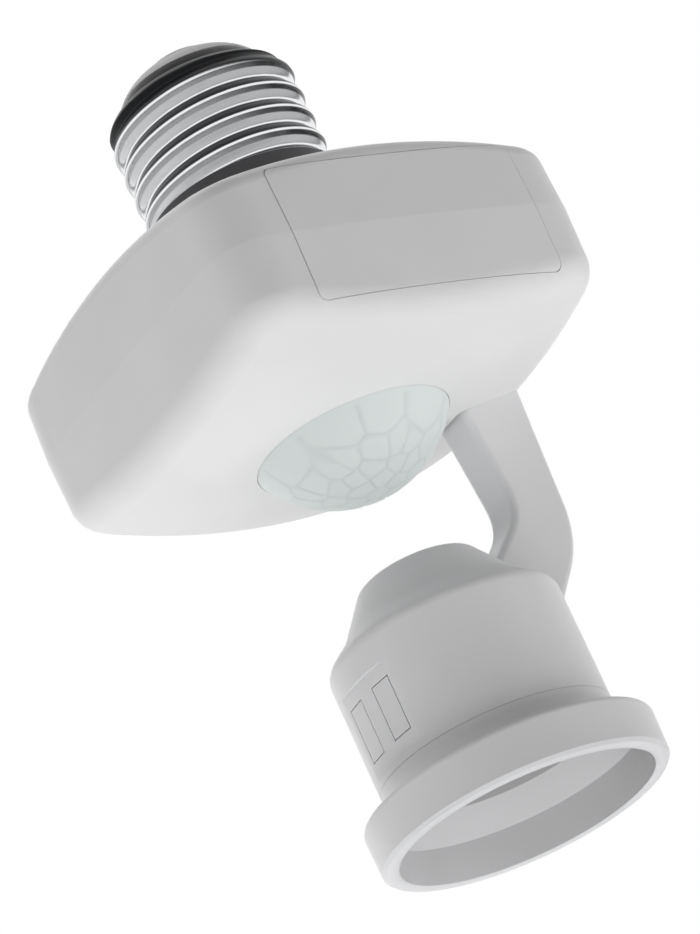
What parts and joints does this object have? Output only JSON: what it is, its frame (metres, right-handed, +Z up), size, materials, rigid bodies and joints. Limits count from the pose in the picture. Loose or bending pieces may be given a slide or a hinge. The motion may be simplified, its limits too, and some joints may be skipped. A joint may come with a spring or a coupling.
{
  "type": "motion sensor lamp holder",
  "caption": "White motion sensor adapter with a screw cap, a square sensor housing with a domed lens, and a lamp socket hung below on an arm.",
  "frame": {"origin": "centre of the lamp mouth, on the flat rim of the collar", "axes": "+Z up the common axis of mouth, lens and screw cap, +X towards the arm, -Y towards the wall with the name panel"},
  "size_m": [0.0586, 0.0586, 0.1143],
  "materials": {
    "housing": "fine satin white moulding",
    "lens": "translucent milky polyethylene",
    "inner_plastic": "plain moulding",
    "cap_metal": "bright nickel plate",
    "black_glass": "black fused glass, opaque",
    "contact_metal": "tinned solder contact",
    "socket_plastic": "smooth white moulding",
    "shell_metal": "nickel plated rolled shell",
    "socket_base": "white insulating moulding",
    "brass_parts": "plain spring brass",
    "board": "green board",
    "screws": "zinc plated",
    "sensor_can": "drawn can",
    "inner_dark": "dark component body",
    "film": "dipped film capacitor",
    "inner_blue": "blue trimmer body",
    "wire_brown": "insulated wire",
    "wire_blue": "insulated wire"
  },
  "bodies": {
    "holder": {"upper_shell": "housing", "lower_shell": "housing", "front_panel": "housing", "lens": "lens", "lens_ring": "inner_plastic", "screw_shell": "cap_metal", "cap_insulator": "black_glass", "cap_contact": "contact_metal", "socket_casing": "socket_plastic", "socket_collar": "socket_plastic", "lamp_thread_shell": "shell_metal", "socket_base": "socket_base", "centre_terminal": "brass_parts", "shell_terminal": "brass_parts", "shell_rivet": "brass_parts", "circuit_board": "board", "board_screws": "screws", "arm_screws": "screws", "motion_sensor": "sensor_can", "light_sensor": "inner_dark", "relay": "inner_dark", "film_capacitor": "film", "electrolytic_capacitor": "inner_dark", "control_chip": "inner_dark", "rectifier": "inner_dark", "trimmer_body": "inner_blue", "live_supply_wire": "wire_brown", "neutral_supply_wire": "wire_blue", "live_lamp_wire": "wire_brown", "neutral_lamp_wire": "wire_blue"},
    "contact": {"contact_tongue": "brass_parts"},
    "rotor": {"trimmer_rotor": "inner_plastic"}
  },
  "joints": [
    {"name": "contact_spring", "type": "hinge", "parent": "holder", "child": "contact", "pos_m": [-0.007, 0, 0.0242], "axis": [0, -1, 0], "range_deg": [0, 7], "stiffness_Nm_per_rad": 0.1},
    {"name": "time_setting", "type": "hinge", "parent": "holder", "child": "rotor", "pos_m": [-0.002, 0.0126, 0.071], "axis": [0, 0, 1], "range_deg": [0, 240]}
  ]
}
